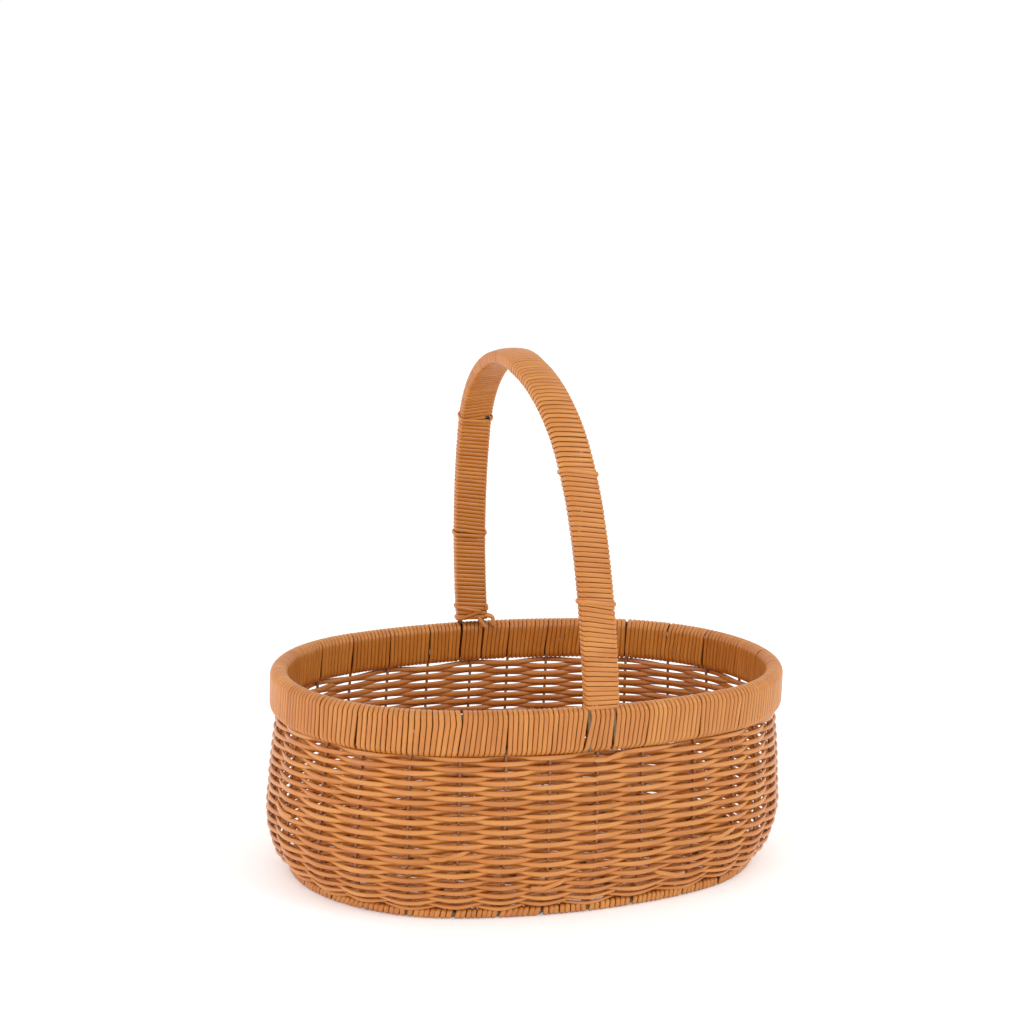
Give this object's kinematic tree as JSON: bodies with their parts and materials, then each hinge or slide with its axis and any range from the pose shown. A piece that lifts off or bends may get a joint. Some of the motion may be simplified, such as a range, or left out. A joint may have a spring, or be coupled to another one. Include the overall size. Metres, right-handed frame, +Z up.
{
  "type": "egg collection basket",
  "caption": "Oval woven basket of rattan-look strand on a steel wire frame, with a wrapped rim, a ringed base and one fixed bow handle across its short axis.",
  "frame": {"origin": "middle of the base on the surface the basket stands on", "axes": "+Z up, X along the long axis of the oval, Y across it, the bow handle standing in the plane across the basket"},
  "size_m": [0.35, 0.2408, 0.3438],
  "materials": {
    "frame_wire": "dark olive-brown coated steel wire, satin",
    "rattan_weave": "honey-orange synthetic rattan strand, faint lengthwise grain, semi-gloss",
    "rattan_wrap": "honey-orange synthetic rattan strand, tightly wound, semi-gloss"
  },
  "bodies": {
    "root": {"rim_top_hoop": "frame_wire", "rim_lower_hoop": "frame_wire", "base_hoop": "frame_wire", "side_stakes_front": "frame_wire", "side_stakes_right": "frame_wire", "side_stakes_back": "frame_wire", "side_stakes_left": "frame_wire", "handle_bow_left": "frame_wire", "handle_bow_right": "frame_wire", "floor_cross_ribs": "frame_wire", "wall_weave_01": "rattan_weave", "wall_weave_02": "rattan_weave", "wall_weave_03": "rattan_weave", "wall_weave_04": "rattan_weave", "wall_weave_05": "rattan_weave", "wall_weave_06": "rattan_weave", "wall_weave_07": "rattan_weave", "wall_weave_08": "rattan_weave", "wall_weave_09": "rattan_weave", "wall_weave_10": "rattan_weave", "wall_weave_11": "rattan_weave", "wall_weave_12": "rattan_weave", "wall_weave_13": "rattan_weave", "wall_weave_14": "rattan_weave", "wall_weave_15": "rattan_weave", "wall_weave_16": "rattan_weave", "wall_weave_17": "rattan_weave", "floor_weavers_front": "rattan_weave", "floor_weavers_back": "rattan_weave", "rim_wrap_front": "rattan_wrap", "base_wrap_front": "rattan_wrap", "rim_wrap_right": "rattan_wrap", "base_wrap_right": "rattan_wrap", "rim_wrap_back": "rattan_wrap", "base_wrap_back": "rattan_wrap", "rim_wrap_left": "rattan_wrap", "base_wrap_left": "rattan_wrap", "handle_wrap_1": "rattan_wrap", "handle_wrap_2": "rattan_wrap", "handle_wrap_3": "rattan_wrap", "handle_wrap_4": "rattan_wrap", "handle_wrap_5": "rattan_wrap", "handle_wrap_6": "rattan_wrap", "foot_binding_front": "rattan_wrap", "foot_binding_back": "rattan_wrap", "strand_tail_back": "rattan_wrap"}
  },
  "joints": []
}
